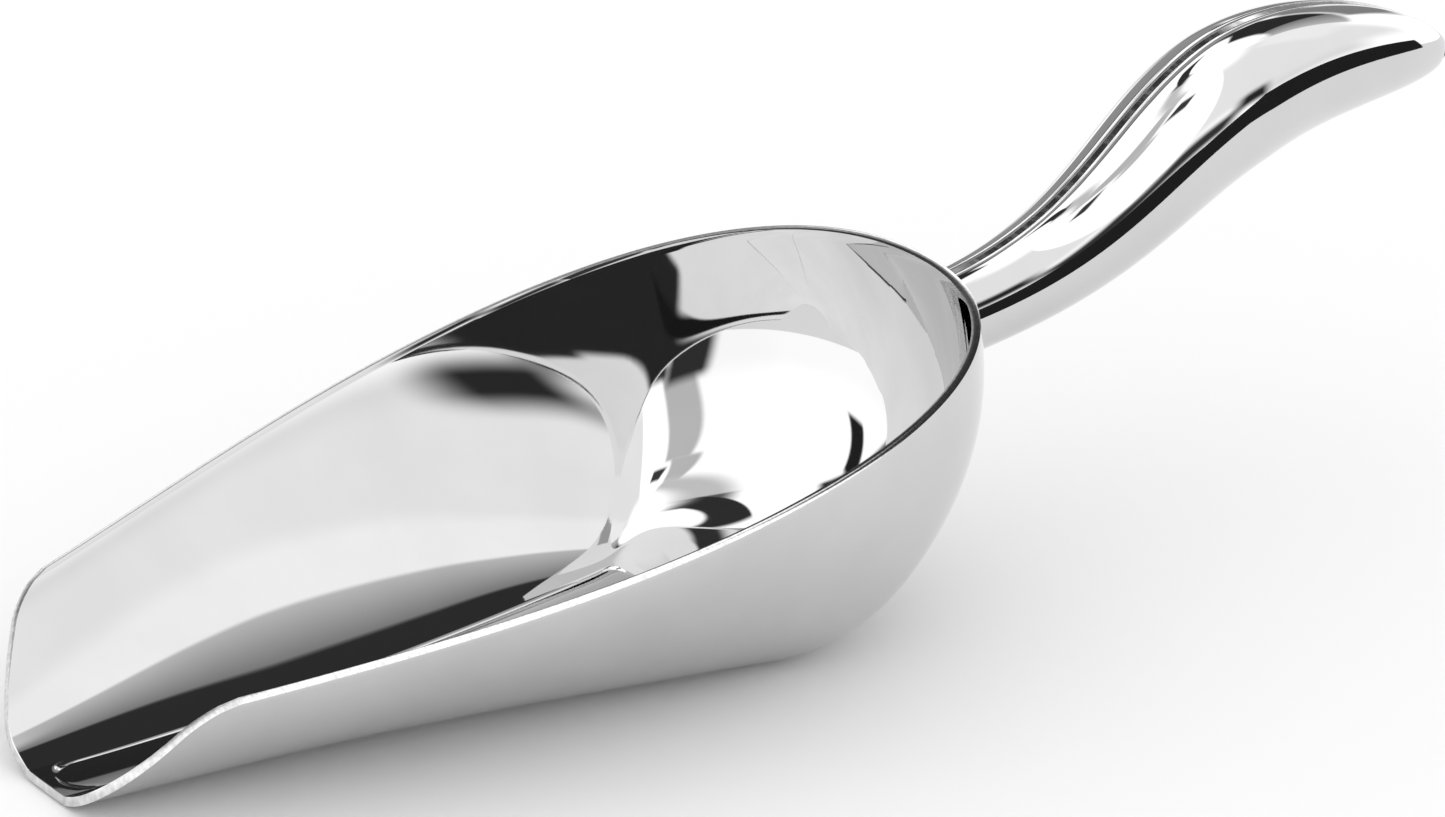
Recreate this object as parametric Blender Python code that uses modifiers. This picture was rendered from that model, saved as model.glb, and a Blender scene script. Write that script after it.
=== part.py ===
"""Ice scoop: a drawn sheet bowl on a flat pressed base, and a hollow welded handle.

Frame: metres, +Z up. The open lip points to -X and the handle to +X. The origin is
the middle of the flat base, on the face that the scoop rests on.
"""

import functools
import math

import bmesh
import bpy
from mathutils import Vector

# ---- Driving dimensions, in metres and radians ---------------------------------------

# Bowl, measured from the lip (x = 0 before the origin is moved to the base's middle)
BOWL_LENGTH = 0.1425            # lip to the back of the rim
BOWL_WIDTH = 0.0853             # outside, at the widest section
REAR_DEPTH = 0.0536             # widest section to the back of the rim
REAR_REACH = 0.0356             # how far the rim's side line is led on into the rear end
LIP_WIDTH = 0.0449              # rim width, carried forward to the lip's plane
LIP_TAPER = 0.286               # how fast the rim widens behind the lip
SHEET = 0.0013                  # bowl's sheet thickness
RIM_FRONT_HEIGHT = 0.0194       # rim above the base at the lip's top corner
RIM_BACK_HEIGHT = 0.0472        # rim above the base at the back
RIM_SAG = 0.0021                # how far the rim's side line hangs below straight

# Lip: a raked cut with rounded top corners
LIP_RAKE = math.radians(34.5)   # lean of the cut from vertical
LIP_FOOT = 0.0030               # height below which the cut is square to the base
LIP_CORNER = 0.0042             # reach of the rounded corner along the rim
LIP_CORNER_START = 0.84         # share of the wall's height where the corner begins

# Flat base, pressed into the bowl
BASE_FRONT_WIDTH = 0.0100
BASE_REAR_WIDTH = 0.0358
BASE_SWEEP = 1.87               # power by which the base widens
BASE_TO_BACK = 0.0381           # rear end of the base to the back of the rim
BASE_END = 0.0085               # depth of the base's rounded rear end
BASE_END_SQUARENESS = 6.0

# Walls: ribs run out square to the centreline, then fan round the rear end
FAN_TO_BACK = 0.0618            # centre of the fan to the back of the rim
FAN_EASE = 0.0096               # length over which the square ribs turn into the fan
FOOT_ANGLES = (math.radians(20.8), math.radians(3.1))   # leaving the base: lip, back
RIM_ANGLES = (math.radians(68.8), math.radians(104.9))  # meeting the rim: lip, back
FOOT_EASE = 2.67                # powers by which the angles change along the rim
RIM_EASE = 3.23
BACK_FULLNESS = 1.11            # how full the back wall is beside a plain arc

# Handle: two stamped half shells on one curved centreline
HANDLE_REACH = 0.0975           # back of the rim to the handle's tip
HANDLE_ROOT_DROP = 0.0120       # top of the back rim down to the centreline's root
HANDLE_RISE = 0.0241            # root of the centreline up to its tip
HANDLE_LEAD = 0.0554            # root's control point, ahead of the root
HANDLE_LEAD_RISE = 0.0046       # and above it
HANDLE_TRAIL = 0.0614           # tip's control point, behind the tip
HANDLE_CROWN = 0.0127           # and above it
HANDLE_SETBACK = 0.0030         # centreline's start inside the back of the rim
ROOT_RADIUS = 0.0061
GRIP_RADIUS = 0.0104
GRIP_TO_TIP = 0.0416            # widest part of the grip to the tip
TIP_SHARPNESS = 1.38
HANDLE_SHEET = 0.0007

# Welds and clearances
SEAM_WIDTH = 0.0012
ROOT_WELD_WIDTH = 0.0013        # how far the weld stands out from the handle
ROOT_WELD_LENGTH = 0.0022       # how far it runs along the handle
GAP = 0.0003                    # between neighbouring solids

# Mesh density
TROUGH_STEPS = 18
REAR_STEPS = 16
WALL_STEPS = 12
BASE_STEPS = 3
HANDLE_STEPS = 30
HALF_ROUND_STEPS = 12
RING_STEPS = 32
COPE_COLUMNS = 9                # part of the rear wall's grid that the handle can meet
COPE_ROWS = 9

# ---- Derived places --------------------------------------------------------------------

WIDEST_X = BOWL_LENGTH - REAR_DEPTH
BASE_REAR_X = BOWL_LENGTH - BASE_TO_BACK
BASE_SIDE_END_X = BASE_REAR_X - BASE_END
ORIGIN_X = BASE_REAR_X / 2.0
FAN_X = BOWL_LENGTH - FAN_TO_BACK
LIP_TOP_X = (RIM_FRONT_HEIGHT - LIP_FOOT) * math.tan(LIP_RAKE) + LIP_CORNER * 0.8
HANDLE_START = Vector((BOWL_LENGTH - HANDLE_SETBACK, 0.0, RIM_BACK_HEIGHT - HANDLE_ROOT_DROP))
HANDLE_TIP = Vector((BOWL_LENGTH + HANDLE_REACH, 0.0, HANDLE_START.z + HANDLE_RISE))


def clear_scene():
    """Remove every object that the file starts with."""
    for item in list(bpy.data.objects):
        bpy.data.objects.remove(item, do_unlink=True)


def lerp(start, end, share):
    return start + (end - start) * share


def bezier(points, share):
    """Point at share (0 to 1) on a cubic Bezier curve."""
    rest = 1.0 - share
    weights = (rest ** 3, 3.0 * rest * rest * share, 3.0 * rest * share * share, share ** 3)
    return sum((point * weight for point, weight in zip(points, weights)), Vector((0.0, 0.0, 0.0)))


# ---- Bowl surface ------------------------------------------------------------------------

def rim_height(x):
    """Height of the rim's outer edge above the base."""
    share = (x - LIP_TOP_X) / (BOWL_LENGTH - LIP_TOP_X)
    return lerp(RIM_FRONT_HEIGHT, RIM_BACK_HEIGHT, share) - 4.0 * RIM_SAG * share * (1.0 - share)


def rim_outline(along):
    """Rim in plan: 0 to 1 along the widening side, then to 2 round the rear end.

    Both curves have the same bend where they meet at the widest section.
    """
    third = WIDEST_X / 3.0
    half = BOWL_WIDTH / 2.0
    lead = LIP_WIDTH / 2.0 + LIP_TAPER * third
    if along <= 1.0:
        points = ((0.0, LIP_WIDTH / 2.0), (third, lead), (2.0 * third, half), (WIDEST_X, half))
        return bezier([Vector((x, y, 0.0)) for x, y in points], along)
    shoulder = half - (half - lead) * (REAR_REACH / third) ** 2
    points = (
        (WIDEST_X, half),
        (WIDEST_X + REAR_REACH, half),
        (BOWL_LENGTH, shoulder),
        (BOWL_LENGTH, 0.0),
    )
    return bezier([Vector((x, y, 0.0)) for x, y in points], along - 1.0)


def base_half_width(x):
    share = max(x, 0.0) / BASE_SIDE_END_X
    return lerp(BASE_FRONT_WIDTH, BASE_REAR_WIDTH, share ** BASE_SWEEP) / 2.0


def on_base(point):
    """Whether a point of the plan stands on the flat base."""
    side = point.y / base_half_width(point.x)
    end = max(point.x - BASE_SIDE_END_X, 0.0) / BASE_END
    return side ** BASE_END_SQUARENESS + end ** BASE_END_SQUARENESS <= 1.0


def rib_centre(x):
    """Point of the centreline that the rib of rim station x runs out from."""
    turn = math.hypot(FAN_X, FAN_EASE) - math.hypot(x - FAN_X, FAN_EASE)
    return Vector(((x + turn) / 2.0, 0.0, 0.0))


def base_edge(centre, rim):
    """Where the line from a rib's centre out to its rim leaves the flat base."""
    near = centre
    far = rim
    for _ in range(30):
        middle = (near + far) / 2.0
        if on_base(middle):
            near = middle
        else:
            far = middle
    return near


@functools.lru_cache(maxsize=None)
def wall_rib(along):
    """Cubic Bezier that leaves the base and meets the rim at the two angles."""
    plan = rim_outline(along)
    centre = rib_centre(plan.x)
    foot = base_edge(centre, plan)
    rim = Vector((plan.x, plan.y, rim_height(plan.x)))
    share = plan.x / BOWL_LENGTH
    foot_angle = lerp(FOOT_ANGLES[0], FOOT_ANGLES[1], share ** FOOT_EASE)
    rim_angle = lerp(RIM_ANGLES[0], RIM_ANGLES[1], share ** RIM_EASE)
    across = (plan - centre).normalized()
    leave = across * math.cos(foot_angle) + Vector((0.0, 0.0, math.sin(foot_angle)))
    arrive = across * math.cos(rim_angle) + Vector((0.0, 0.0, math.sin(rim_angle)))
    turn = rim_angle - foot_angle
    reach = 4.0 / 3.0 * math.tan(turn / 4.0) / (2.0 * math.sin(turn / 2.0))
    reach *= (rim - foot).length * lerp(1.0, BACK_FULLNESS, across.x ** 2)
    return foot, foot + leave * reach, rim - arrive * reach, rim


def lip_x(height_share):
    """How far behind the lip's plane the cut stands at a share of the wall's height."""
    height = bezier(wall_rib(LIP_TOP_X / 2.0 / WIDEST_X), height_share).z
    above = height - LIP_FOOT
    eased = (above + math.hypot(above, LIP_FOOT / 2.0)) / 2.0
    corner = max(0.0, (height_share - LIP_CORNER_START) / (1.0 - LIP_CORNER_START))
    return eased * math.tan(LIP_RAKE) + LIP_CORNER * (1.0 - math.sqrt(1.0 - min(corner, 1.0) ** 2))


def wall_point(along, up):
    """Outer wall: along is 0 to 1 on the trough and 1 to 2 round the rear; up is 0 to 1."""
    if along > 1.0:
        return bezier(wall_rib(along), up)
    return bezier(wall_rib(lerp(lip_x(up) / WIDEST_X, 1.0, along)), up)


def base_point(along, across):
    """Underside of the flat base; across is 0 on the centreline and 1 at the wall's foot."""
    foot = wall_point(along, 0.0)
    spine = rib_centre(min(along, 1.0) * WIDEST_X)
    if along > 1.0:
        spine.x = lerp(spine.x, BASE_REAR_X - BASE_END / 2.0, along - 1.0)
    return spine.lerp(foot, across)


def surface_point(along, around):
    """Point of the outer half surface; around is -1 to 0 on the base and 0 to 1 on the wall."""
    if around <= 0.0:
        return base_point(along, 1.0 + around)
    return wall_point(along, around)


# ---- Building helpers -----------------------------------------------------------------------

def grid_object(name, collection, columns, rows, place):
    """A grid primitive whose vertices are moved by place(column share, row share)."""
    mesh = bpy.data.meshes.new(name)
    sheet = bmesh.new()
    bmesh.ops.create_grid(sheet, x_segments=columns, y_segments=rows, size=0.5)
    for vertex in sheet.verts:
        vertex.co = place(vertex.co.x + 0.5, vertex.co.y + 0.5)
    bmesh.ops.remove_doubles(sheet, verts=sheet.verts, dist=1e-6)
    sheet.to_mesh(mesh)
    sheet.free()
    item = bpy.data.objects.new(name, mesh)
    collection.objects.link(item)
    return item


def face_outwards(item, inside):
    """Flip an open surface so that its faces point away from a point inside it."""
    surface = bmesh.new()
    surface.from_mesh(item.data)
    bmesh.ops.recalc_face_normals(surface, faces=surface.faces)
    facing = sum(face.normal.dot(face.calc_center_median() - inside) for face in surface.faces)
    if facing < 0.0:
        bmesh.ops.reverse_faces(surface, faces=surface.faces)
    surface.to_mesh(item.data)
    surface.free()


def add_mirror(item):
    mirror = item.modifiers.new("Mirror", "MIRROR")
    mirror.use_axis = (False, True, False)
    mirror.use_clip = True
    mirror.merge_threshold = 0.00001


def add_thickness(item, thickness, offset=-1.0):
    """Solidify an open surface; offset -1 grows it inwards and +1 outwards."""
    solidify = item.modifiers.new("Thickness", "SOLIDIFY")
    solidify.thickness = thickness
    solidify.offset = offset
    solidify.use_even_offset = True


def add_cut(item, cutter):
    cut = item.modifiers.new("Cope", "BOOLEAN")
    cut.operation = "DIFFERENCE"
    cut.object = cutter


def steel(name, colour, roughness):
    """Plain stainless steel finish."""
    material = bpy.data.materials.new(name)
    material.use_nodes = True
    shader = material.node_tree.nodes["Principled BSDF"]
    shader.inputs["Base Color"].default_value = (*colour, 1.0)
    shader.inputs["Roughness"].default_value = roughness
    shader.inputs["Metallic"].default_value = 1.0
    return material


def finish(item, material):
    """Give a part its material and smooth shading with sharp folds."""
    item.data.materials.append(material)
    item.data.shade_smooth()
    item.data.set_sharp_from_angle(angle=math.radians(35.0))


def to_frame(point):
    """Move a point from lip coordinates to the frame at the base's middle."""
    return Vector((point.x - ORIGIN_X, point.y, point.z))


# ---- Bowl ------------------------------------------------------------------------------------

def share_steps(count, first_count, low, middle, high):
    """Map a grid share to an even count of steps below and above a fold."""
    def place(share):
        step = share * count
        if step <= first_count:
            return lerp(low, middle, step / first_count)
        return lerp(middle, high, (step - first_count) / (count - first_count))
    return place


def make_bowl(collection):
    """One drawn sheet: tapering trough, rounded back and flat base."""
    columns = TROUGH_STEPS + REAR_STEPS
    rows = BASE_STEPS + WALL_STEPS
    along = share_steps(columns, TROUGH_STEPS, 0.0, 1.0, 2.0)
    around = share_steps(rows, BASE_STEPS, -1.0, 0.0, 1.0)

    def place(column, row):
        point = surface_point(along(column), around(row))
        if abs(point.y) < 1e-7:
            point.y = 0.0
        return to_frame(point)

    bowl = grid_object("scoop_bowl", collection, columns, rows, place)
    face_outwards(bowl, to_frame(Vector((WIDEST_X, 0.0, RIM_FRONT_HEIGHT))))
    add_mirror(bowl)
    add_thickness(bowl, SHEET)
    return bowl


def wall_normal(along, up):
    """Unit normal that points out of the rear wall; on the centreline it has no y."""
    step = 0.01
    rise = wall_point(along, up) - wall_point(along, up - step)
    if along >= 2.0:
        return Vector((rise.z, 0.0, -rise.x)).normalized()
    run = wall_point(along + step, up) - wall_point(along - step, up)
    return rise.cross(run).normalized()


def make_cope_cutter(collection):
    """Block that stands one gap outside the bowl's back wall, for shaping what meets it."""
    def place(column, row):
        along = 2.0 - (1.0 - column) * COPE_COLUMNS / REAR_STEPS
        up = 1.0 - (1.0 - row) * COPE_ROWS / WALL_STEPS
        return to_frame(wall_point(along, up) + wall_normal(along, up) * GAP)

    cutter = grid_object("cope_cutter", collection, COPE_COLUMNS, COPE_ROWS, place)
    face_outwards(cutter, to_frame(Vector((WIDEST_X, 0.0, RIM_BACK_HEIGHT / 2.0))))
    add_mirror(cutter)
    add_thickness(cutter, 2.0 * ROOT_RADIUS)
    cutter.hide_render = True
    cutter.display_type = "WIRE"
    return cutter


# ---- Handle ----------------------------------------------------------------------------------

def handle_curve():
    """Control points of the handle's centreline, from root to tip."""
    lead = HANDLE_START + Vector((HANDLE_LEAD, 0.0, HANDLE_LEAD_RISE))
    trail = HANDLE_TIP + Vector((-HANDLE_TRAIL, 0.0, HANDLE_CROWN))
    return HANDLE_START, lead, trail, HANDLE_TIP


def handle_frame(share):
    """Centre, unit tangent and unit upward normal at a share of the centreline."""
    points = handle_curve()
    step = 1e-4
    ahead = bezier(points, min(share + step, 1.0))
    behind = bezier(points, max(share - step, 0.0))
    tangent = (ahead - behind).normalized()
    return bezier(points, share), tangent, Vector((-tangent.z, 0.0, tangent.x))


def handle_radius(x):
    """Grip radius: eases from the root to the widest part, then rounds off to the tip."""
    widest = HANDLE_TIP.x - GRIP_TO_TIP
    if x < widest:
        share = max(0.0, (x - HANDLE_START.x) / (widest - HANDLE_START.x)) ** 1.35
        return lerp(ROOT_RADIUS, GRIP_RADIUS, 3.0 * share ** 2 - 2.0 * share ** 3)
    share = min(1.0, (x - widest) / GRIP_TO_TIP)
    return GRIP_RADIUS * math.sqrt(max(0.0, 1.0 - share ** TIP_SHARPNESS))


def handle_section(radius, angle):
    """Upward and sideways offsets of the handle's skin; the angle runs from the top."""
    edge = SEAM_WIDTH / 2.0 + GAP
    around = math.sin(angle)
    outward = edge + max(radius - edge, 0.0) * abs(around)
    if abs(around) < 1e-6:
        outward = 0.0
    return radius * math.cos(angle), math.copysign(outward, around)


def handle_share(step_share):
    """Even steps that close up towards the tip, where the handle rounds off."""
    return math.sin(step_share * math.pi / 2.0) ** 0.9


def make_half_shell(name, collection, side, cutter):
    """One stamped half of the handle; side is -1 for left and +1 for right."""
    def place(column, row):
        centre, _, upward = handle_frame(handle_share(column))
        rise, outward = handle_section(handle_radius(centre.x), row * math.pi)
        outward = max(outward, SEAM_WIDTH / 2.0 + GAP)
        return to_frame(centre + upward * rise) + Vector((0.0, side * outward, 0.0))

    shell = grid_object(name, collection, HANDLE_STEPS, HALF_ROUND_STEPS, place)
    face_outwards(shell, to_frame(bezier(handle_curve(), 0.6)))
    add_thickness(shell, HANDLE_SHEET)
    add_cut(shell, cutter)
    return shell


def make_seam_weld(collection, cutter):
    """Bead that joins the half shells along the top, round the tip and underneath."""
    def place(column, row):
        run = 2.0 * column
        side = 1.0 if run <= 1.0 else -1.0
        centre, _, upward = handle_frame(handle_share(run if run <= 1.0 else 2.0 - run))
        point = to_frame(centre + upward * handle_radius(centre.x) * side)
        return point + Vector((0.0, (row - 0.5) * SEAM_WIDTH, 0.0))

    seam = grid_object("handle_seam_weld", collection, 2 * HANDLE_STEPS, 1, place)
    face_outwards(seam, to_frame(bezier(handle_curve(), 0.6)))
    add_thickness(seam, HANDLE_SHEET)
    add_cut(seam, cutter)
    return seam


def make_root_weld(collection, cutter):
    """Ring of weld between the bowl's back wall and the handle's root."""
    length = (handle_curve()[1] - HANDLE_START).length * 3.0
    end = (HANDLE_SETBACK + ROOT_WELD_LENGTH) / length

    def place(column, row):
        centre, _, upward = handle_frame(column * end)
        rise, outward = handle_section(handle_radius(centre.x) + GAP, row * 2.0 * math.pi)
        return to_frame(centre + upward * rise) + Vector((0.0, outward, 0.0))

    weld = grid_object("handle_root_weld", collection, 6, RING_STEPS, place)
    face_outwards(weld, to_frame(bezier(handle_curve(), end / 2.0)))
    add_thickness(weld, ROOT_WELD_WIDTH, 1.0)
    add_cut(weld, cutter)
    return weld


# ---- Assembly --------------------------------------------------------------------------------

def build():
    clear_scene()
    parts = bpy.data.collections.new("ice_scoop")
    cutters = bpy.data.collections.new("cutters")
    bpy.context.scene.collection.children.link(parts)
    bpy.context.scene.collection.children.link(cutters)
    cutter = make_cope_cutter(cutters)
    finish(make_bowl(parts), steel("bowl_steel", (0.62, 0.62, 0.62), 0.10))
    shell_steel = (0.60, 0.60, 0.60)
    finish(make_half_shell("handle_left_shell", parts, -1.0, cutter), steel("left_steel", shell_steel, 0.12))
    finish(make_half_shell("handle_right_shell", parts, 1.0, cutter), steel("right_steel", shell_steel, 0.12))
    finish(make_seam_weld(parts, cutter), steel("seam_steel", (0.50, 0.50, 0.50), 0.30))
    finish(make_root_weld(parts, cutter), steel("weld_steel", (0.48, 0.48, 0.48), 0.35))


build()
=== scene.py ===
"""Polished steel ice scoop: fine surfaces, finishes, studio and camera.

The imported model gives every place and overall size. The bowl is one drawn sheet with a
pressed base, and the handle is two half shells joined by a ground seam and a root weld.
"""

import logging
import math
from dataclasses import dataclass
from enum import Enum
from typing import Callable, Sequence

import bmesh
import bpy
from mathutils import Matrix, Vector
from mathutils.bvhtree import BVHTree

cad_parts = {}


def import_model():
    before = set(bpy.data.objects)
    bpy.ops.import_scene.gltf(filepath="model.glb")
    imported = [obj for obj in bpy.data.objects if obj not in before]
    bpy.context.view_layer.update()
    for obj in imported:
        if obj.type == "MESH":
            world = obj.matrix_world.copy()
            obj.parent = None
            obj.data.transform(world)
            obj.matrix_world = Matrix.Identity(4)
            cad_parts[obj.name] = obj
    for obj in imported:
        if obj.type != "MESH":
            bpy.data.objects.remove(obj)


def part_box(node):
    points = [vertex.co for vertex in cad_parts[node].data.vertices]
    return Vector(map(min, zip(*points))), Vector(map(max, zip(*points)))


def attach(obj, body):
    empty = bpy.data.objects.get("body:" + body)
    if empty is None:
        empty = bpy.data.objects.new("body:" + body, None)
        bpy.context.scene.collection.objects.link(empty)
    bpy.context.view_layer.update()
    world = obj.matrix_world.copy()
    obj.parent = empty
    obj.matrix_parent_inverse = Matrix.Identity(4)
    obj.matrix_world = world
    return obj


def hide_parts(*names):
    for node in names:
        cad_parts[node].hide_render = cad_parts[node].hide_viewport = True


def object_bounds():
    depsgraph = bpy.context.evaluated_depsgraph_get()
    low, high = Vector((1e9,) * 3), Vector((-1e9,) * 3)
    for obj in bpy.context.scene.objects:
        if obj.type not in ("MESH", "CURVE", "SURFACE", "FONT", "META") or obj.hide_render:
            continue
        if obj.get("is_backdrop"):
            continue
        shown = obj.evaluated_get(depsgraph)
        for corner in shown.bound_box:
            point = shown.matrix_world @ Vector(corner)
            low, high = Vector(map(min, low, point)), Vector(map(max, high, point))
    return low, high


LOG = logging.getLogger("ice_scoop")
Placer = Callable[[float, float], Vector]
Socket = bpy.types.NodeSocket
UP = Vector((0.0, 0.0, 1.0))
MERGE_DISTANCE = 1e-7
TIP_RISE = 0.0241


def lerp(start: float, end: float, share: float) -> float:
    """Value at a share of the way from start to end."""
    return start + (end - start) * share


def smooth(low: float, high: float, value: float) -> float:
    """Ease between two values with level ends.

    Args:
        low: Value at which the ease starts.
        high: Value at which it is over.
        value: The value to place between them.

    Returns:
        0 up to low, 1 from high on, and an S-curve between.
    """
    share = min(1.0, max(0.0, (value - low) / (high - low)))
    return share * share * (3.0 - 2.0 * share)


def bezier(points: Sequence[Vector], share: float) -> Vector:
    """Point on a cubic Bezier curve.

    Args:
        points: The curve's four control points.
        share: Place along the curve, from 0 to 1.

    Returns:
        The point.
    """
    rest = 1.0 - share
    weights = (rest ** 3, 3.0 * rest * rest * share, 3.0 * rest * share * share, share ** 3)
    place = Vector((0.0, 0.0, 0.0))
    for point, weight in zip(points, weights):
        place += point * weight
    return place


# ---- Finishes ------------------------------------------------------------------------


class Slot(Enum):
    """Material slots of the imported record."""

    BOWL = "bowl_steel"
    LEFT_SHELL = "left_shell_steel"
    RIGHT_SHELL = "right_shell_steel"
    SEAM_WELD = "seam_weld_steel"
    ROOT_WELD = "root_weld_steel"


class NodeBench:
    """Short ways to add and join the nodes of one material."""

    def __init__(self, name: str) -> None:
        """Start a material with an empty Principled surface."""
        self.material = bpy.data.materials.new(name)
        self.material.use_nodes = True
        self.tree = self.material.node_tree
        self.shader = self.tree.nodes["Principled BSDF"]
        self.place = self.tree.nodes.new("ShaderNodeTexCoord").outputs["Object"]

    def add(self, kind: str, **values: object) -> bpy.types.Node:
        """Add a node and set its properties or named inputs.

        Args:
            kind: The node's type name.
            values: Properties, or inputs with their spaces written as underscores.

        Returns:
            The new node.
        """
        node = self.tree.nodes.new(kind)
        for key, value in values.items():
            if hasattr(node, key):
                setattr(node, key, value)
            else:
                node.inputs[key.replace("_", " ")].default_value = value
        return node

    def join(self, source: Socket, target: Socket) -> None:
        """Link one socket to another."""
        self.tree.links.new(source, target)

    def stretched(self, scale: Sequence[float], turn: Sequence[float] = (0.0, 0.0, 0.0)) -> Socket:
        """Turn and stretch the object coordinates for a directional pattern.

        Args:
            scale: Cells per metre along each axis.
            turn: Turn about each axis, in radians.

        Returns:
            The coordinates' socket.
        """
        mapping = self.add("ShaderNodeMapping", vector_type="POINT")
        mapping.inputs["Scale"].default_value = scale
        mapping.inputs["Rotation"].default_value = turn
        self.join(self.place, mapping.inputs["Vector"])
        return mapping.outputs["Vector"]

    def noise(self, vector: Socket, scale: float, detail: float) -> Socket:
        """Lay a fractal noise on some coordinates.

        Args:
            vector: The coordinates.
            scale: Cells per unit of the coordinates.
            detail: Octaves of finer noise.

        Returns:
            The noise's socket.
        """
        node = self.add("ShaderNodeTexNoise", Scale=scale, Detail=detail)
        self.join(vector, node.inputs["Vector"])
        return node.outputs["Fac"]

    def ramp(self, value: Socket, low: float, high: float, start: float, end: float) -> Socket:
        """Map a value's range onto another range, clamped.

        Args:
            value: The value to map.
            low: Lower end of its range.
            high: Upper end of its range.
            start: Result at the lower end.
            end: Result at the upper end.

        Returns:
            The mapped value's socket.
        """
        node = self.add("ShaderNodeMapRange", clamp=True)
        for name, number in (("From Min", low), ("From Max", high), ("To Min", start), ("To Max", end)):
            node.inputs[name].default_value = number
        self.join(value, node.inputs["Value"])
        return node.outputs["Result"]

    def blend(self, first: Socket, second: Socket, operation: str) -> Socket:
        """Work out one value from two.

        Args:
            first: The first value.
            second: The second value.
            operation: The math node's operation.

        Returns:
            The result's socket.
        """
        node = self.add("ShaderNodeMath", operation=operation)
        self.join(first, node.inputs[0])
        self.join(second, node.inputs[1])
        return node.outputs["Value"]

    def tint(self, value: Socket, dark: Sequence[float], light: Sequence[float]) -> None:
        """Colour the surface between two colours by a value.

        Args:
            value: 0 for the dark colour and 1 for the light one.
            dark: Colour of the low places.
            light: Colour of the high places.
        """
        node = self.add("ShaderNodeMix", data_type="RGBA")
        node.inputs["A"].default_value = (*dark, 1.0)
        node.inputs["B"].default_value = (*light, 1.0)
        self.join(value, node.inputs["Factor"])
        self.join(node.outputs["Result"], self.shader.inputs["Base Color"])

    def bump(self, height: Socket, strength: float, distance: float) -> None:
        """Raise the surface by a height value.

        Args:
            height: The height, in parts of the distance.
            strength: How fully the height tilts the surface, from 0 to 1.
            distance: Height of one unit, in metres.
        """
        node = self.add("ShaderNodeBump", Strength=strength, Distance=distance)
        self.join(height, node.inputs["Height"])
        self.join(node.outputs["Normal"], self.shader.inputs["Normal"])


@dataclass(frozen=True)
class MirrorSteel:
    """Mirror-polished stainless sheet with a trace of buffing and handling scratches.

    Where a weld centre is given, the sheet is drawn in round it instead of scratched.
    """

    name: str
    buffing: tuple[float, float, float] = (30.0, 400.0, 400.0)
    roughness: tuple[float, float] = (0.015, 0.035)
    light: tuple[float, float, float] = (0.67, 0.67, 0.67)
    dark: tuple[float, float, float] = (0.64, 0.64, 0.64)
    haze_scale: float = 60.0
    scratch_depth: float = 0.000004
    weld_centre: tuple[float, float, float] | None = None
    weld_radii: tuple[float, float, float] = (0.0050, 0.0078, 0.0125)
    weld_lumps: float = 110.0
    weld_draw: float = 0.00005

    def pull(self, bench: NodeBench) -> Socket:
        """Ring where the sheet has drawn in round a weld on its other side.

        Args:
            bench: The material's nodes.

        Returns:
            The ring's height, broken up by a noise.
        """
        away = bench.add("ShaderNodeVectorMath", operation="DISTANCE")
        away.inputs[1].default_value = self.weld_centre
        bench.join(bench.place, away.inputs[0])
        inner, middle, outer = self.weld_radii
        rising = bench.ramp(away.outputs["Value"], inner, middle, 0.0, 1.0)
        falling = bench.ramp(away.outputs["Value"], middle, outer, 1.0, 0.0)
        ring = bench.blend(rising, falling, "MULTIPLY")
        return bench.blend(ring, bench.noise(bench.place, self.weld_lumps, 1.0), "MULTIPLY")

    def make(self) -> bpy.types.Material:
        """Build the material.

        Returns:
            The polished steel.
        """
        bench = NodeBench(self.name)
        bench.shader.inputs["Metallic"].default_value = 1.0
        grain = bench.noise(bench.stretched(self.buffing), 1.0, 4.0)
        haze = bench.noise(bench.place, self.haze_scale, 3.0)
        mixed = bench.blend(grain, haze, "MULTIPLY")
        bench.join(bench.ramp(mixed, 0.1, 0.45, *self.roughness), bench.shader.inputs["Roughness"])
        bench.tint(bench.ramp(haze, 0.35, 0.65, 0.0, 1.0), self.dark, self.light)
        if self.weld_centre is None:
            bench.bump(grain, 0.1, self.scratch_depth)
        else:
            bench.bump(self.pull(bench), 1.0, self.weld_draw)
        return bench.material


@dataclass(frozen=True)
class CutEdge:
    """Edge of the sheet: polished round the rim and left with its cut grain at the lip."""

    name: str
    grain: float = 2600.0
    nicks: float = 900.0
    relief: float = 0.00003
    polished: float = 0.06
    dark: tuple[float, float, float] = (0.56, 0.56, 0.56)
    light: tuple[float, float, float] = (0.80, 0.80, 0.80)
    lip_span: tuple[float, float] = (-0.040, -0.030)

    def make(self) -> bpy.types.Material:
        """Build the material.

        Returns:
            The brushed edge steel.
        """
        bench = NodeBench(self.name)
        bench.shader.inputs["Metallic"].default_value = 1.0
        split = bench.add("ShaderNodeSeparateXYZ")
        bench.join(bench.place, split.inputs["Vector"])
        rough = bench.ramp(split.outputs["X"], *self.lip_span, 1.0, self.polished)
        streaks = bench.noise(bench.stretched((1.0, 0.35, 0.35)), self.grain, 5.0)
        nicks = bench.noise(bench.place, self.nicks, 3.0)
        bench.join(bench.ramp(rough, self.polished, 1.0, 0.10, 0.34), bench.shader.inputs["Roughness"])
        bench.tint(bench.ramp(streaks, 0.3, 0.7, 0.0, 1.0), self.dark, self.light)
        relief = bench.blend(bench.blend(streaks, nicks, "ADD"), rough, "MULTIPLY")
        bench.bump(relief, 0.5, self.relief)
        return bench.material


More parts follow.
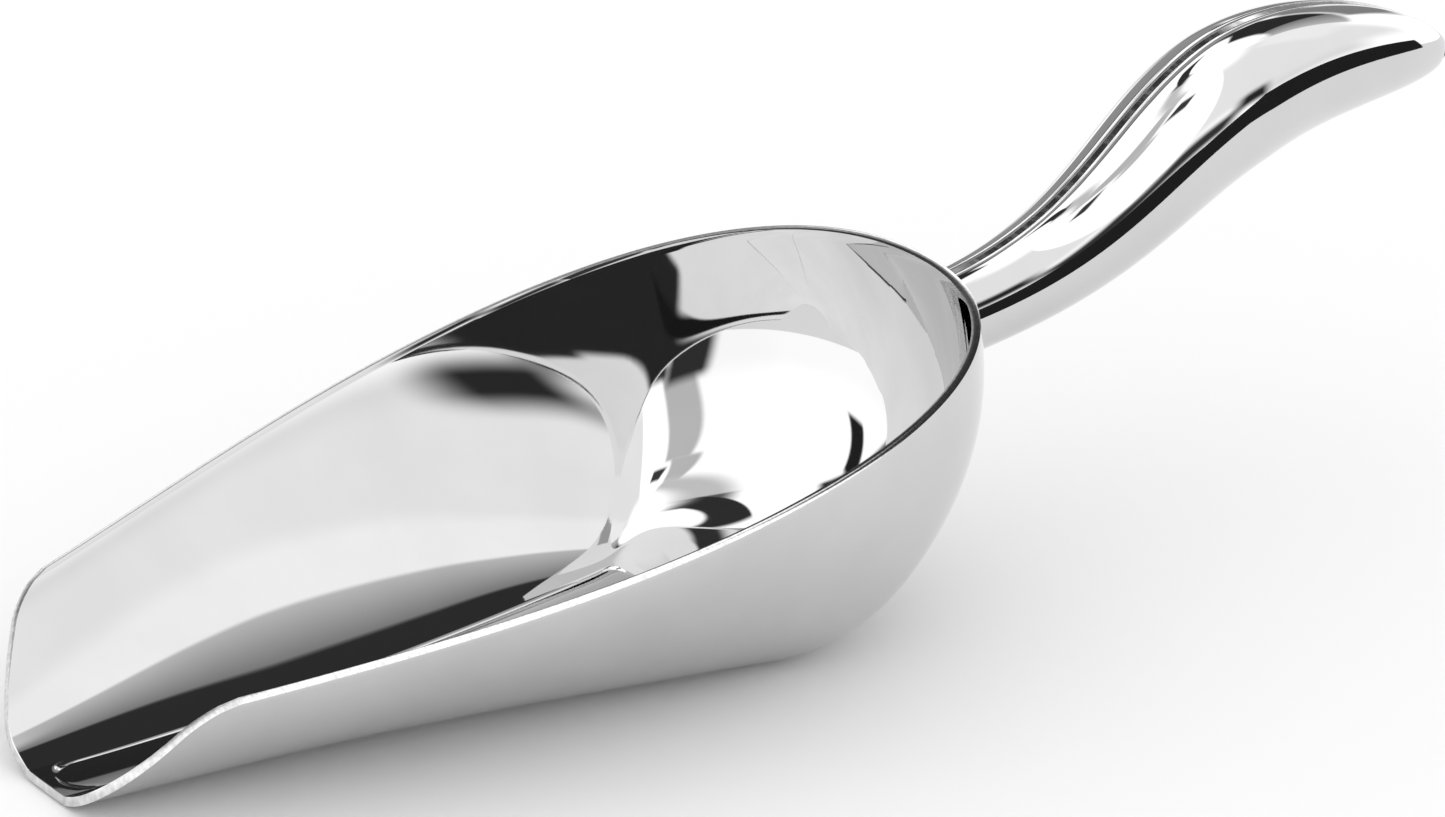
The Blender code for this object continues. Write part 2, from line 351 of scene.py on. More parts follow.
@dataclass(frozen=True)
class GroundWeld:
    """Weld ground flush and half polished: cross scratches over an uneven streak."""

    name: str
    roughness: tuple[float, float] = (0.06, 0.22)
    scratch_scale: tuple[float, float, float] = (900.0, 60.0, 900.0)
    scratch_turn: tuple[float, float, float] = (0.0, 0.35, 0.25)
    lump_scale: float = 260.0
    relief: float = 0.000012
    dark: tuple[float, float, float] = (0.58, 0.58, 0.58)
    light: tuple[float, float, float] = (0.78, 0.78, 0.78)

    def make(self) -> bpy.types.Material:
        """Build the material.

        Returns:
            The ground weld steel.
        """
        bench = NodeBench(self.name)
        bench.shader.inputs["Metallic"].default_value = 1.0
        scratches = bench.noise(bench.stretched(self.scratch_scale, self.scratch_turn), 1.0, 5.0)
        lumps = bench.noise(bench.place, self.lump_scale, 3.0)
        bench.join(bench.ramp(scratches, 0.35, 0.65, *self.roughness), bench.shader.inputs["Roughness"])
        bench.tint(bench.ramp(lumps, 0.35, 0.65, 0.0, 1.0), self.dark, self.light)
        bench.bump(bench.blend(scratches, lumps, "ADD"), 0.5, self.relief)
        return bench.material


# ---- Building helpers ------------------------------------------------------------------


def placed_grid(columns: int, rows: int, place: Placer) -> bmesh.types.BMesh:
    """Grid whose vertices are moved onto a surface.

    Args:
        columns: Faces along the first share.
        rows: Faces along the second share.
        place: Point of the surface at two shares from 0 to 1.

    Returns:
        The open surface, its poles closed.
    """
    sheet = bmesh.new()
    bmesh.ops.create_grid(sheet, x_segments=columns, y_segments=rows, size=0.5)
    for vertex in sheet.verts:
        vertex.co = place(vertex.co.x + 0.5, vertex.co.y + 0.5)
    bmesh.ops.remove_doubles(sheet, verts=sheet.verts, dist=MERGE_DISTANCE)
    return sheet


def face_away(sheet: bmesh.types.BMesh, inside: Vector) -> None:
    """Point an open surface's faces away from a point.

    Args:
        sheet: The surface.
        inside: A point on its inner side.
    """
    bmesh.ops.recalc_face_normals(sheet, faces=sheet.faces)
    facing = sum(face.normal.dot(face.calc_center_median() - inside) for face in sheet.faces)
    if facing < 0.0:
        bmesh.ops.reverse_faces(sheet, faces=sheet.faces)


def mirrored(sheet: bmesh.types.BMesh) -> None:
    """Add the other half of a surface that ends on the plane of symmetry.

    Args:
        sheet: The half, which becomes the whole.
    """
    half = sheet.verts[:] + sheet.edges[:] + sheet.faces[:]
    bmesh.ops.mirror(sheet, geom=half, axis="Y", merge_dist=1e-6)
    bmesh.ops.remove_doubles(sheet, verts=sheet.verts, dist=MERGE_DISTANCE)


def make_piece(name: str, sheet: bmesh.types.BMesh) -> bpy.types.Object:
    """Turn a bmesh into a smooth-shaded object at the origin.

    Args:
        name: The piece's name.
        sheet: Its surface, which is freed.

    Returns:
        The linked object.
    """
    mesh = bpy.data.meshes.new(name)
    sheet.to_mesh(mesh)
    sheet.free()
    mesh.shade_smooth()
    piece = bpy.data.objects.new(name, mesh)
    bpy.context.scene.collection.objects.link(piece)
    return piece


def thicken(piece: bpy.types.Object, sheet: float, rim_slot: int = 0) -> None:
    """Grow a wall inwards from the outer surface.

    Args:
        piece: The open surface.
        sheet: The wall's thickness.
        rim_slot: Material slot of the cut edge, counted from the wall's own.
    """
    wall = piece.modifiers.new("Wall", "SOLIDIFY")
    wall.thickness = sheet
    wall.offset = -1.0
    wall.use_quality_normals = True
    wall.material_offset_rim = rim_slot


def soften(piece: bpy.types.Object, width: float, angle: float) -> None:
    """Round the edges that are sharper than an angle.

    Args:
        piece: The piece, whose wall already has its thickness.
        width: Width of the rounding.
        angle: Least angle between two faces whose edge is rounded.
    """
    round_over = piece.modifiers.new("Round", "BEVEL")
    round_over.width = width
    round_over.segments = 2
    round_over.limit_method = "ANGLE"
    round_over.angle_limit = angle
    round_over.harden_normals = False


# ---- Bowl ----------------------------------------------------------------------------------


@dataclass
class Bowl:
    """Drawn bowl: tapering trough, rounded back, raked lip and pressed flat base.

    Lengths along the bowl run from the lip, and to_frame() moves them to the frame.
    """

    low: Vector
    high: Vector
    sheet: float = 0.0013
    back_bulge: float = 0.00154
    rear_depth: float = 0.0536
    rear_reach: float = 0.0356
    lip_width: float = 0.0449
    lip_taper: float = 0.286
    rim_front_height: float = 0.0194
    rim_sag: float = 0.00207
    lip_rake: float = math.radians(34.5)
    lip_foot: float = 0.0030
    lip_corner: float = 0.0042
    lip_corner_start: float = 0.84
    lip_flatness: float = 0.74
    lip_region: float = 0.0450
    base_front_width: float = 0.0100
    base_rear_width: float = 0.0358
    base_sweep: float = 1.87
    base_to_back: float = 0.0381
    base_end: float = 0.0085
    base_end_squareness: float = 6.0
    fan_to_back: float = 0.0618
    fan_ease: float = 0.0096
    foot_angles: tuple[float, float] = (math.radians(20.8), math.radians(3.1))
    rim_angles: tuple[float, float] = (math.radians(68.8), math.radians(104.9))
    foot_ease: float = 2.67
    rim_ease: float = 3.23
    back_fullness: float = 1.107
    coin_depth: float = 0.0004
    coin_width: float = 0.0006
    lip_depths: tuple[float, float] = (0.00022, 0.0003)
    panel_start: float = 0.0016
    panel_nose: float = 0.0048
    edge_round: float = 0.00022
    edge_angle: float = math.radians(40.0)
    handle_drop: float = 0.0120
    handle_inset: float = 0.0030
    lip_crowding: float = 1.35
    halvings: int = 30
    trough_steps: int = 90
    rear_steps: int = 76
    wall_steps: int = 46
    coin_steps: int = 7
    panel_steps: int = 7

    def __post_init__(self) -> None:
        """Work out the places that the driving sizes set."""
        self.length = self.high.x - self.low.x - self.back_bulge
        self.width = self.high.y - self.low.y
        self.rim_back_height = self.high.z - self.low.z
        self.widest_x = self.length - self.rear_depth
        self.base_side_end = self.length - self.base_to_back - self.base_end
        raked = (self.rim_front_height - self.lip_foot) * math.tan(self.lip_rake)
        self.lip_top = raked + self.lip_corner * 0.8
        self.fan_x = self.length - self.fan_to_back
        self.ribs: dict[float, tuple[Vector, Vector, Vector, Vector]] = {}

    def to_frame(self, point: Vector) -> Vector:
        """Move a point from lip coordinates to the frame."""
        return Vector((point.x + self.low.x, point.y, point.z + self.low.z))

    def handle_root(self) -> Vector:
        """Start of the handle's centreline, a little inside the back wall."""
        height = self.rim_back_height - self.handle_drop
        return self.to_frame(Vector((self.length - self.handle_inset, 0.0, height)))

    def rim_height(self, x: float) -> float:
        """Height of the rim's outer edge above the base.

        Args:
            x: Station from the lip.

        Returns:
            The height, on a line that sags a little between the lip and the back.
        """
        share = (x - self.lip_top) / (self.length - self.lip_top)
        level = lerp(self.rim_front_height, self.rim_back_height, share)
        return level - 4.0 * self.rim_sag * share * (1.0 - share)

    def rim_outline(self, along: float) -> Vector:
        """Rim in plan, with one even bend through the widest section.

        Args:
            along: 0 to 1 from the lip to the widest section, then to 2 at the back.

        Returns:
            The point, at no height.
        """
        third = self.widest_x / 3.0
        half = self.width / 2.0
        lead = self.lip_width / 2.0 + self.lip_taper * third
        if along <= 1.0:
            corners = ((0.0, self.lip_width / 2.0), (third, lead), (2.0 * third, half), (self.widest_x, half))
            return bezier([Vector((x, y, 0.0)) for x, y in corners], along)
        shoulder = half - (half - lead) * (self.rear_reach / third) ** 2
        corners = (
            (self.widest_x, half),
            (self.widest_x + self.rear_reach, half),
            (self.length, shoulder),
            (self.length, 0.0),
        )
        return bezier([Vector((x, y, 0.0)) for x, y in corners], along - 1.0)

    def base_half_width(self, x: float) -> float:
        """Half of the flat base's width, which widens towards the back."""
        share = max(x, 0.0) / self.base_side_end
        return lerp(self.base_front_width, self.base_rear_width, share ** self.base_sweep) / 2.0

    def on_base(self, point: Vector) -> bool:
        """Tell whether a point of the plan stands on the flat base.

        Args:
            point: The point, in lip coordinates.

        Returns:
            True inside the base's outline, whose rear corners are rounded.
        """
        side = point.y / self.base_half_width(point.x)
        end = max(point.x - self.base_side_end, 0.0) / self.base_end
        return side ** self.base_end_squareness + end ** self.base_end_squareness <= 1.0

    def rib_centre(self, x: float) -> Vector:
        """Point of the centreline that the rib of rim station x runs out from."""
        turn = math.hypot(self.fan_x, self.fan_ease) - math.hypot(x - self.fan_x, self.fan_ease)
        return Vector(((x + turn) / 2.0, 0.0, 0.0))

    def natural_height(self, x: float, side: float) -> float:
        """Height of the drawn sheet over the base before the panel is pressed.

        Args:
            x: Station from the lip.
            side: Share of the base's half width, from the centreline.

        Returns:
            The height above the pressed panel.
        """
        behind = smooth(0.0, self.lip_region / 1.5, x)
        edge = lerp(self.lip_depths[1], self.coin_depth, behind)
        middle = lerp(self.lip_depths[0], self.coin_depth, behind)
        return lerp(middle, edge, side ** 2)

    def rib(self, along: float) -> tuple[Vector, Vector, Vector, Vector]:
        """Section curve of the wall from the base to the rim.

        Args:
            along: 0 to 1 from the lip to the widest section, then to 2 at the back.

        Returns:
            The section's Bezier control points.
        """
        if along in self.ribs:
            return self.ribs[along]
        plan = self.rim_outline(along)
        centre = self.rib_centre(plan.x)
        foot, beyond = centre, plan
        for _ in range(self.halvings):
            middle = (foot + beyond) / 2.0
            if self.on_base(middle):
                foot = middle
            else:
                beyond = middle
        foot = Vector((foot.x, foot.y, self.natural_height(foot.x, 1.0)))
        rim = Vector((plan.x, plan.y, self.rim_height(plan.x)))
        share = plan.x / self.length
        foot_angle = lerp(self.foot_angles[0], self.foot_angles[1], share ** self.foot_ease)
        foot_angle *= lerp(self.lip_flatness, 1.0, smooth(0.0, self.lip_region, plan.x))
        rim_angle = lerp(self.rim_angles[0], self.rim_angles[1], share ** self.rim_ease)
        across = (plan - centre).normalized()
        leave = across * math.cos(foot_angle) + UP * math.sin(foot_angle)
        arrive = across * math.cos(rim_angle) + UP * math.sin(rim_angle)
        turn = rim_angle - foot_angle
        reach = 4.0 / 3.0 * math.tan(turn / 4.0) / (2.0 * math.sin(turn / 2.0))
        reach *= (rim - foot).length * lerp(1.0, self.back_fullness, across.x ** 2)
        self.ribs[along] = (foot, foot + leave * reach, rim - arrive * reach, rim)
        return self.ribs[along]

    def lip_x(self, up: float) -> float:
        """How far the raked cut stands behind the lip.

        Args:
            up: Share of the wall's curve from the base to the rim.

        Returns:
            The distance, which grows quickly at the rounded top corner.
        """
        above = bezier(self.rib(self.lip_top / 2.0 / self.widest_x), up).z - self.lip_foot
        eased = (above + math.hypot(above, self.lip_foot / 2.0)) / 2.0
        corner = min(1.0, max(0.0, (up - self.lip_corner_start) / (1.0 - self.lip_corner_start)))
        return eased * math.tan(self.lip_rake) + self.lip_corner * (1.0 - math.sqrt(1.0 - corner ** 2))

    def wall(self, along: float, up: float) -> Vector:
        """Outer face of the wall in lip coordinates.

        Args:
            along: 0 to 1 from the raked cut to the widest section, then to 2 at the back.
            up: Share of the wall's curve from the base to the rim.

        Returns:
            The point.
        """
        if along > 1.0:
            return bezier(self.rib(along), up)
        return bezier(self.rib(lerp(self.lip_x(up) / self.widest_x, 1.0, along)), up)

    def panel(self, along: float, across: float) -> Vector:
        """Underside of the base, with its panel pressed down to the floor.

        Args:
            along: 0 to 1 from the raked cut to the widest section, then to 2 at the back.
            across: Share of the way from the centreline to the wall's foot.

        Returns:
            The point.
        """
        foot = self.wall(along, 0.0)
        spine = Vector((foot.x, 0.0, foot.z))
        if along > 1.0:
            spine.x = lerp(self.wall(1.0, 0.0).x, self.base_side_end + self.base_end / 2.0, along - 1.0)
        point = spine.lerp(foot, across)
        side = point.y / self.base_half_width(point.x)
        ahead = max(self.panel_start + self.panel_nose - point.x, 0.0) / self.panel_nose
        inset = (1.0 - math.hypot(ahead, side)) * self.base_half_width(point.x)
        inset = min(inset, (foot - spine).length * (1.0 - across))
        pressed = smooth(0.0, self.coin_width, inset)
        point.z = self.natural_height(point.x, side) * (1.0 - pressed)
        return point

    def outer(self, column: float, row: float) -> Vector:
        """Outer surface in the frame.

        Args:
            column: Share of the grid's columns, from the lip to the back.
            row: Share of its rows, from the centreline to the rim.

        Returns:
            The point.
        """
        columns = self.trough_steps + self.rear_steps
        step = column * columns
        if step <= self.trough_steps:
            along = (step / self.trough_steps) ** self.lip_crowding
        else:
            along = 1.0 + (step - self.trough_steps) / self.rear_steps
        below = self.panel_steps + self.coin_steps
        step = row * (below + self.wall_steps)
        if step > below:
            point = self.wall(along, (step - below) / self.wall_steps)
        else:
            foot = self.wall(along, 0.0)
            edge = 1.0 - min(0.5, self.coin_width * 1.1 / max(foot.y, 1e-4 + self.base_end / 2.0))
            if step <= self.panel_steps:
                across = edge * step / self.panel_steps
            else:
                across = lerp(edge, 1.0, (step - self.panel_steps) / self.coin_steps)
            point = self.panel(along, across)
        if abs(point.y) < 1e-6:
            point.y = 0.0
        return self.to_frame(point)

    def build(self) -> bpy.types.Object:
        """Make the bowl.

        Returns:
            The finished piece, with its wall on slot 0 and its cut edge on slot 1.
        """
        columns = self.trough_steps + self.rear_steps
        rows = self.panel_steps + self.coin_steps + self.wall_steps
        sheet = placed_grid(columns, rows, self.outer)
        mirrored(sheet)
        face_away(sheet, self.to_frame(Vector((self.widest_x, 0.0, self.rim_back_height / 2.0))))
        bowl = make_piece("polished_bowl", sheet)
        weld = self.to_frame(Vector((self.length, 0.0, self.rim_back_height - self.handle_drop)))
        bowl.data.materials.append(MirrorSteel("bowl_mirror_steel", weld_centre=tuple(weld)).make())
        bowl.data.materials.append(CutEdge("bowl_cut_edge").make())
        thicken(bowl, self.sheet, rim_slot=1)
        soften(bowl, self.edge_round, self.edge_angle)
        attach(bowl, "root")
        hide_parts("scoop_bowl")
        return bowl


# ---- Handle --------------------------------------------------------------------------------


@dataclass
class Handle:
    """Hollow handle: two half shells on one curved centreline, a seam and a root weld."""

    root: Vector
    tip: Vector
    lead: tuple[float, float] = (0.0554, 0.0046)
    trail: tuple[float, float] = (-0.0614, 0.0127)
    root_radius: float = 0.0061
    grip_radius: float = 0.0104
    grip_to_tip: float = 0.0416
    belly_ease: float = 1.35
    tip_sharpness: float = 1.38
    tip_crowding: float = 0.9
    sheet: float = 0.0007
    seam_half: float = 0.0011
    cope_search: float = 0.15
    weld_reach: float = 0.0012
    weld_hollow: float = 0.55
    weld_share: float = 0.04
    middle_share: float = 0.6
    halvings: int = 24
    length_steps: int = 130
    round_steps: int = 36

    def curve(self) -> tuple[Vector, Vector, Vector, Vector]:
        """Control points of the centreline."""
        lead = self.root + Vector((self.lead[0], 0.0, self.lead[1]))
        trail = self.tip + Vector((self.trail[0], 0.0, self.trail[1]))
        return self.root, lead, trail, self.tip

    def station(self, share: float) -> tuple[Vector, Vector, float]:
        """Centre, upward normal and radius of one section.

        Args:
            share: Place along the centreline, from 0 at the root to 1 at the tip.

        Returns:
            The centre, the normal and the radius.
        """
        points = self.curve()
        step = 1e-3
        ahead, behind = bezier(points, min(share + step, 1.0)), bezier(points, max(share - step, 0.0))
        tangent = (ahead - behind).normalized()
        centre = bezier(points, share)
        return centre, Vector((-tangent.z, 0.0, tangent.x)), self.radius(centre.x)

    def radius(self, x: float) -> float:
        """Grip radius, which eases up to the belly and rounds off to the tip.

        Args:
            x: Station in the frame.

        Returns:
            The radius.
        """
        widest = self.tip.x - self.grip_to_tip
        if x < widest:
            share = max(0.0, (x - self.root.x) / (widest - self.root.x)) ** self.belly_ease
            return lerp(self.root_radius, self.grip_radius, 3.0 * share ** 2 - 2.0 * share ** 3)
        share = min(1.0, (x - widest) / self.grip_to_tip)
        return self.grip_radius * math.sqrt(max(0.0, 1.0 - share ** self.tip_sharpness))

    def skin(self, share: float, angle: float) -> Vector:
        """Outer skin of the half on the +Y side.

        Args:
            share: Place along the centreline.
            angle: Place round the handle, turned down from the top.

        Returns:
            The point.
        """
        centre, upward, radius = self.station(share)
        outward = self.seam_half + max(radius - self.seam_half, 0.0) * math.sin(angle)
        return centre + upward * radius * math.cos(angle) + Vector((0.0, outward, 0.0))

    def closing(self, step: float) -> float:
        """Steps that close up towards the tip."""
        return math.sin(step * math.pi / 2.0) ** self.tip_crowding

    def coped(self, wall: BVHTree, angle: float) -> float:
        """Share of the centreline at which the skin meets the bowl's back wall.

        Args:
            wall: The bowl's surface.
            angle: Place round the handle, turned down from the top.

        Returns:
            The share.
        """
        ahead = self.skin(self.cope_search, angle)
        back = (self.skin(0.0, angle) - ahead).normalized()
        hit = wall.ray_cast(ahead, back)[0]
        near, far = 0.0, self.cope_search
        for _ in range(self.halvings):
            share = (near + far) / 2.0
            if self.skin(share, angle).x < hit.x:
                near = share
            else:
                far = share
        return near

    def build_shell(self, name: str, node: str, slot: Slot, side: float, wall: BVHTree) -> bpy.types.Object:
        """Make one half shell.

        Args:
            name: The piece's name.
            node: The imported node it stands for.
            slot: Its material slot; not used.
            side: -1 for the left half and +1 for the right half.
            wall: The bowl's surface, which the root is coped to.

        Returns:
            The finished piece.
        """
        def place(column: float, row: float) -> Vector:
            """Skin from the coped root to the tip and from top to underside."""
            angle = row * math.pi
            point = self.skin(lerp(self.coped(wall, angle), 1.0, self.closing(column)), angle)
            return Vector((point.x, point.y * side, point.z))

        sheet = placed_grid(self.length_steps, self.round_steps, place)
        face_away(sheet, bezier(self.curve(), self.middle_share))
        shell = make_piece(name, sheet)
        shell.data.materials.append(MirrorSteel(f"{name}_steel").make())
        thicken(shell, self.sheet)
        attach(shell, "root")
        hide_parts(node)
        return shell

    def build_seam(self, wall: BVHTree) -> bpy.types.Object:
        """Make the ground seam that runs over the top, round the tip and underneath.

        Args:
            wall: The bowl's surface, which both ends are coped to.

        Returns:
            The finished piece.
        """
        def place(column: float, row: float) -> Vector:
            """Bead along the top to the tip and back underneath."""
            run = 2.0 * column
            over = run <= 1.0
            start = self.coped(wall, 0.0 if over else math.pi)
            share = lerp(start, 1.0, self.closing(run if over else 2.0 - run))
            centre, upward, radius = self.station(share)
            point = centre + upward * (radius if over else -radius)
            return point + Vector((0.0, (row - 0.5) * 2.0 * self.seam_half, 0.0))

        sheet = placed_grid(2 * self.length_steps, 4, place)
        face_away(sheet, bezier(self.curve(), self.middle_share))
        seam = make_piece("ground_seam", sheet)
        seam.data.materials.append(GroundWeld("ground_seam_steel").make())
        thicken(seam, self.sheet)
        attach(seam, "root")
        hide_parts("handle_seam_weld")
        return seam

    def build_root_weld(self, wall: BVHTree) -> bpy.types.Object:
        """Make the fillet between the bowl's back wall and the handle.

        Args:
            wall: The bowl's outer surface.

        Returns:
            The finished piece.
        """
        def on_wall(offset: Vector) -> Vector:
            """Point of the back wall straight ahead of the root, moved by an offset."""
            start = self.root + offset + Vector((0.05, 0.0, 0.0))
            hit = wall.ray_cast(start, Vector((-1.0, 0.0, 0.0)))[0]
            return hit if hit is not None else start

        def place(column: float, row: float) -> Vector:
            """Hollow fillet from the wall to the handle's skin, all the way round."""
            angle = row * 2.0 * math.pi
            _, upward, radius = self.station(self.weld_share)
            around = upward * math.cos(angle) + Vector((0.0, math.sin(angle), 0.0))
            inner = on_wall(around * radius)
            outer = on_wall(around * (radius + self.weld_reach))
            along = Vector((upward.z, 0.0, -upward.x))
            ahead = inner + along * self.weld_reach
            hollow = self.weld_hollow
            return bezier((outer, outer.lerp(inner, hollow), ahead.lerp(inner, hollow), ahead), column)

        sheet = placed_grid(10, 72, place)
        face_away(sheet, self.root)
        weld = make_piece("root_fillet", sheet)
        weld.data.materials.append(GroundWeld("root_fillet_steel").make())
        thicken(weld, self.sheet / 2.0)
        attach(weld, "root")
        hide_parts("handle_root_weld")
        return weld


# ---- Studio --------------------------------------------------------------------------------


@dataclass(frozen=True)
class SkyPatch:
    """Soft-edged patch of the studio's surroundings, as polished steel mirrors it.

    Angles are in degrees: azimuth turns from +Y (0) to +X (90), elevation is above the floor.
    The patch leans by so many degrees of azimuth for each degree up, and its level drifts
    by the given amount from its first side to its last.
    """

    azimuth: float
    elevation: float
    half_width: float
    half_height: float
    level: float
    soft: float = 3.0
    lean: float = 0.0
    drift: float = 0.0


class Sky:
    """World shader: even light on the floor, and a patterned studio in reflections."""

    def __init__(self, even: float, panel: float, patches: Sequence[SkyPatch]) -> None:
        """Keep the two base levels and the patches, which are laid on in order."""
        self.even, self.panel, self.patches = even, panel, patches
        self.world = bpy.data.worlds.new("studio_sky")
        self.world.use_nodes = True
        self.tree = self.world.node_tree

    def math(self, operation: str, *values: object) -> Socket:
        """Add a math node.

        Args:
            operation: The node's operation.
            values: Its inputs, as sockets or numbers.

        Returns:
            The result's socket.
        """
        node = self.tree.nodes.new("ShaderNodeMath")
        node.operation = operation
        for index, value in enumerate(values):
            if isinstance(value, Socket):
                self.tree.links.new(value, node.inputs[index])
            else:
                node.inputs[index].default_value = value
        return node.outputs["Value"]

    def edge(self, offset: Socket, half: float, soft: float) -> Socket:
        """Mask a band of angles.

        Args:
            offset: Angle from the band's middle, in degrees.
            half: Half of the band's width.
            soft: How far its edge fades to each side.

        Returns:
            1 inside the band and 0 outside.
        """
        node = self.tree.nodes.new("ShaderNodeMapRange")
        node.interpolation_type = "SMOOTHSTEP"
        node.clamp = True
        node.inputs["From Min"].default_value = half + soft
        node.inputs["From Max"].default_value = half - soft
        node.inputs["To Min"].default_value = 0.0
        node.inputs["To Max"].default_value = 1.0
        self.tree.links.new(self.math("ABSOLUTE", offset), node.inputs["Value"])
        return node.outputs["Result"]

    def build(self) -> None:
        """Join the nodes and hang the sky in the scene."""
        place = self.tree.nodes.new("ShaderNodeTexCoord").outputs["Generated"]
        split = self.tree.nodes.new("ShaderNodeSeparateXYZ")
        self.tree.links.new(place, split.inputs["Vector"])
        heading = self.math("ARCTAN2", split.outputs["X"], split.outputs["Y"])
        azimuth = self.math("MULTIPLY", heading, math.degrees(1.0))
        elevation = self.math("MULTIPLY", self.math("ARCSINE", split.outputs["Z"]), math.degrees(1.0))
        level = self.math("ADD", self.panel, 0.0)
        for patch in self.patches:
            height = self.math("SUBTRACT", elevation, patch.elevation)
            centre = self.math("MULTIPLY_ADD", height, patch.lean, patch.azimuth)
            across = self.math("SUBTRACT", azimuth, centre)
            mask = self.math(
                "MULTIPLY",
                self.edge(across, patch.half_width, patch.soft),
                self.edge(height, patch.half_height, patch.soft),
            )
            tone = patch.level
            if patch.drift:
                slope = patch.drift / (2.0 * patch.half_width)
                tone = self.math("MULTIPLY_ADD", across, slope, patch.level + patch.drift / 2.0)
            change = self.math("SUBTRACT", tone, level)
            level = self.math("MULTIPLY_ADD", change, mask, level)
        glossy = self.tree.nodes.new("ShaderNodeLightPath").outputs["Is Glossy Ray"]
        spread = self.math("SUBTRACT", level, self.even)
        strength = self.math("MULTIPLY_ADD", spread, glossy, self.even)
        background = self.tree.nodes["Background"]
        self.tree.links.new(strength, background.inputs["Strength"])
        background.inputs["Color"].default_value = (1.0, 1.0, 1.0, 1.0)
        bpy.context.scene.world = self.world


@dataclass(frozen=True)
class Flag:
    """Upright dark flag beside the handle, which only reflections see.

    It runs between two ends on X at one Y, and its middle climbs over a span of its length.
    """

    name: str
    side: float
    ends: tuple[float, float]
    middles: tuple[float, float]
    half_heights: tuple[float, float]
    level: float
    climb: tuple[float, float] = (0.12, 0.22)

    def build(self) -> bpy.types.Object:
        """Stand the flag along the handle.

        Returns:
            The flag.
        """
        def place(column: float, row: float) -> Vector:
            """Point of the flag at shares of its length and height."""
            middle = lerp(*self.middles, smooth(*self.climb, column))
            rise = (2.0 * row - 1.0) * lerp(*self.half_heights, column)
            return Vector((lerp(*self.ends, column), self.side, middle + rise))

        flag = make_piece(self.name, placed_grid(24, 1, place))
        material = bpy.data.materials.new(self.name)
        material.use_nodes = True
        tree = material.node_tree
        glow = tree.nodes.new("ShaderNodeEmission")
        glow.inputs["Strength"].default_value = self.level
        tree.links.new(glow.outputs["Emission"], tree.nodes["Material Output"].inputs["Surface"])
        flag.data.materials.append(material)
        flag.visible_camera = False
        flag.visible_diffuse = False
        flag.visible_shadow = False
        flag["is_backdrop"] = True
        return flag


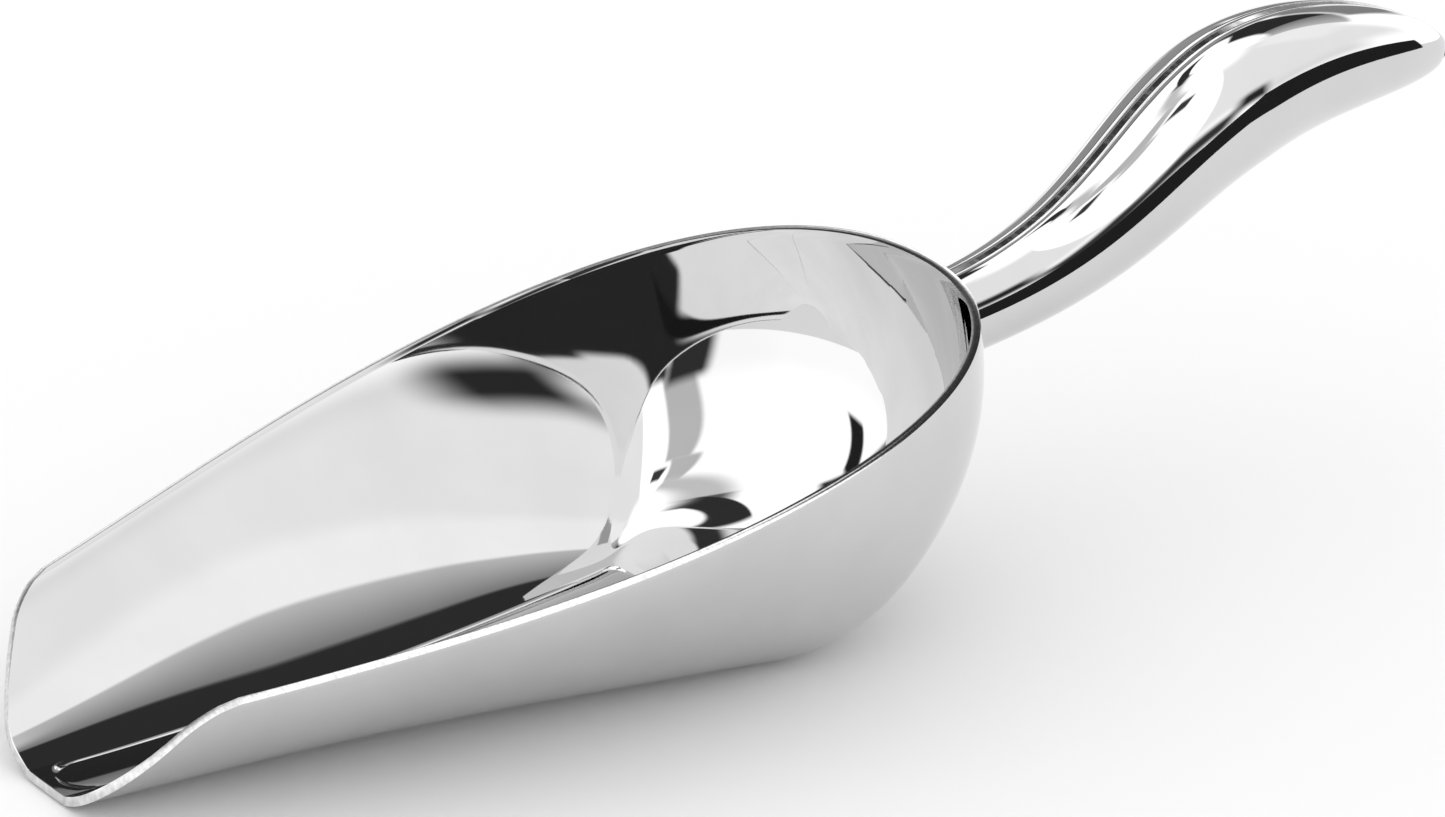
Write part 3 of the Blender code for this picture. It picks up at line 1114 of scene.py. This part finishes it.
@dataclass
class Studio:
    """Pale floor, soft light and a long-lens camera."""

    low: Vector
    high: Vector
    floor_size: float = 6.0
    floor_gap: float = 0.0001
    floor_tone: float = 0.9
    even: float = 1.12
    panel: float = 1.6
    azimuth: float = math.radians(-34.79)
    elevation: float = math.radians(21.65)
    roll: float = math.radians(0.19)
    distance: float = 0.816
    aim: tuple[float, float] = (0.0565, 0.0306)
    lens: float = 145.1

    # Each patch lies over the ones before it.
    patches: tuple[SkyPatch, ...] = (
        # Light low wall beyond the lip, and soft boxes beyond the handle and in front.
        SkyPatch(-85.0, 4.0, 62.0, 12.0, 1.45, 8.0),
        SkyPatch(138.0, 20.0, 20.0, 10.0, 1.05, 6.0),
        SkyPatch(140.0, 46.0, 44.0, 28.0, 1.15, 6.0),
        SkyPatch(99.0, 53.0, 19.0, 15.0, 1.27, 5.0),
        # Grey drapes in front, on the lip's side.
        SkyPatch(-141.0, 32.0, 8.0, 24.0, 0.70, 1.5, 0.57),
        SkyPatch(-116.0, 62.0, 8.0, 7.0, 0.70, 1.5, 1.0),
        SkyPatch(-80.0, 70.5, 36.0, 3.5, 0.8, 2.5),
        # Dark openings low in front, behind the scoop and overhead.
        SkyPatch(-148.0, 7.0, 9.0, 8.0, 0.04, 3.0),
        SkyPatch(-23.0, 26.0, 15.5, 21.0, 0.04, 1.5, 0.14),
        SkyPatch(-38.0, 9.5, 3.5, 4.5, 0.04, 1.0),
        SkyPatch(-36.0, 70.0, 10.0, 3.0, 0.15, 2.0),
        SkyPatch(-19.0, 65.0, 9.5, 6.2, 0.04, 1.0, -2.86),
        SkyPatch(-138.0, 63.5, 9.0, 3.8, 0.06, 1.5),
        SkyPatch(-46.5, 31.5, 5.5, 7.5, 0.02, 1.2, 1.7),
        # Dim room behind, under a dark ceiling.
        SkyPatch(10.0, 20.0, 20.0, 14.0, 0.38, 2.0),
        SkyPatch(46.0, 17.0, 15.0, 18.0, 0.3, 3.0, 0.7),
        SkyPatch(8.0, 42.0, 30.0, 8.0, 0.045, 2.0),
        SkyPatch(48.5, 50.0, 19.5, 13.5, 0.035, 2.0),
        SkyPatch(78.0, 50.0, 12.0, 13.5, 0.27, 1.5, 0.0, 0.44),
        # Dark stands in front, on the handle's side.
        SkyPatch(158.0, 16.5, 7.5, 6.0, 0.03, 4.0),
        SkyPatch(172.0, 8.0, 9.0, 6.0, 0.05, 4.0),
        SkyPatch(-170.0, 6.0, 12.0, 6.0, 0.05, 2.0),
    )
    flags: tuple[Flag, ...] = (
        Flag("dark_flag", -0.12, (0.095, 0.62), (0.034, 0.062), (0.021, 0.046), 0.02),
    )

    def build_floor(self) -> bpy.types.Object:
        """Lay the floor just under the scoop.

        Returns:
            The floor.
        """
        sheet = bmesh.new()
        bmesh.ops.create_grid(sheet, x_segments=1, y_segments=1, size=self.floor_size / 2.0)
        bmesh.ops.translate(sheet, verts=sheet.verts, vec=(0.0, 0.0, self.low.z - self.floor_gap))
        floor = make_piece("studio_floor", sheet)
        bench = NodeBench("studio_floor_paper")
        bench.shader.inputs["Base Color"].default_value = (*(self.floor_tone,) * 3, 1.0)
        bench.shader.inputs["Roughness"].default_value = 0.9
        bench.shader.inputs["Specular IOR Level"].default_value = 0.0
        floor.data.materials.append(bench.material)
        floor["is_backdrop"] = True
        return floor

    def build_light(self) -> None:
        """Hang the sky and stand the flags by the handle."""
        Sky(self.even, self.panel, self.patches).build()
        for flag in self.flags:
            flag.build()
        bpy.context.scene.view_settings.view_transform = "Standard"

    def build_camera(self) -> bpy.types.Object:
        """Stand the camera in front, to the left and a little above.

        Returns:
            The camera.
        """
        data = bpy.data.cameras.new("studio_camera")
        data.lens = self.lens
        data.sensor_width = 36.0
        data.clip_start = 0.01
        camera = bpy.data.objects.new("studio_camera", data)
        bpy.context.scene.collection.objects.link(camera)
        level = Vector((math.sin(self.azimuth), -math.cos(self.azimuth), 0.0))
        back = level * math.cos(self.elevation) + UP * math.sin(self.elevation)
        target = Vector((self.aim[0], 0.0, self.low.z + self.aim[1]))
        camera.rotation_euler = back.to_track_quat("Z", "Y").to_euler()
        camera.rotation_euler.rotate_axis("Z", self.roll)
        camera.location = target + back * self.distance
        bpy.context.scene.camera = camera
        return camera


def main() -> None:
    logging.basicConfig(level=logging.INFO, format="%(name)s: %(message)s")
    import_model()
    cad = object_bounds()
    low, high = (Vector(corner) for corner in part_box("scoop_bowl"))
    bowl = Bowl(low, high)
    polished = bowl.build()
    wall = BVHTree.FromObject(polished, bpy.context.evaluated_depsgraph_get())
    tip_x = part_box("handle_left_shell")[1][0]
    root = bowl.handle_root()
    handle = Handle(root, Vector((tip_x, 0.0, root.z + TIP_RISE)))
    pieces = (
        polished,
        handle.build_shell("left_half_shell", "handle_left_shell", Slot.LEFT_SHELL, -1.0, wall),
        handle.build_shell("right_half_shell", "handle_right_shell", Slot.RIGHT_SHELL, 1.0, wall),
        handle.build_seam(wall),
        handle.build_root_weld(wall),
    )
    for piece in pieces:
        LOG.info("%s: %d vertices before its modifiers", piece.name, len(piece.data.vertices))

    studio = Studio(*(Vector(corner) for corner in cad))
    studio.build_floor()
    studio.build_light()
    studio.build_camera()


if __name__ == "__main__":
    main()
